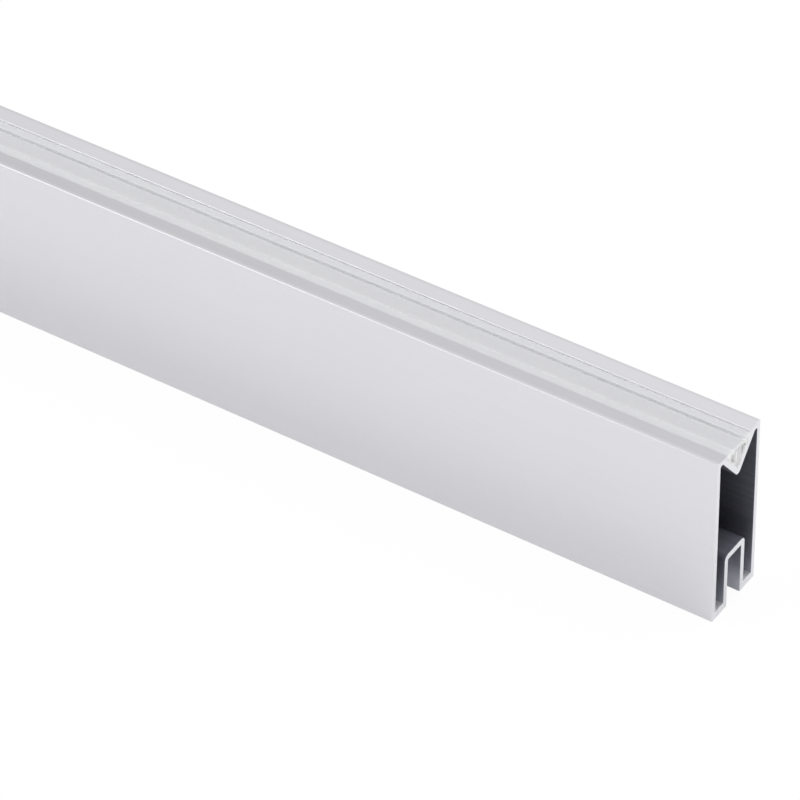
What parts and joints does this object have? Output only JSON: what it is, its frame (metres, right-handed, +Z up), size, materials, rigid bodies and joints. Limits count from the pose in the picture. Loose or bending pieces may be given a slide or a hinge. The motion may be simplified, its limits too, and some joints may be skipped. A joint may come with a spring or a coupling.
{
  "type": "wardrobe rail",
  "caption": "Straight length of tall hollow aluminium wardrobe rail, with a translucent plastic strip set in a V groove along its top and a slot along its underside.",
  "frame": {"origin": "centre of the rail's footprint, on the surface that its two feet stand on", "axes": "+X along the rail, +Y across its width, +Z up from the feet to the groove"},
  "size_m": [0.6, 0.016, 0.041],
  "materials": {
    "anodised_aluminium": "satin silver anodised, saw-cut ends",
    "translucent_plastic": "milky translucent, faint sheen"
  },
  "bodies": {
    "root": {"rail_profile": "anodised_aluminium", "groove_strip": "translucent_plastic"}
  },
  "joints": []
}
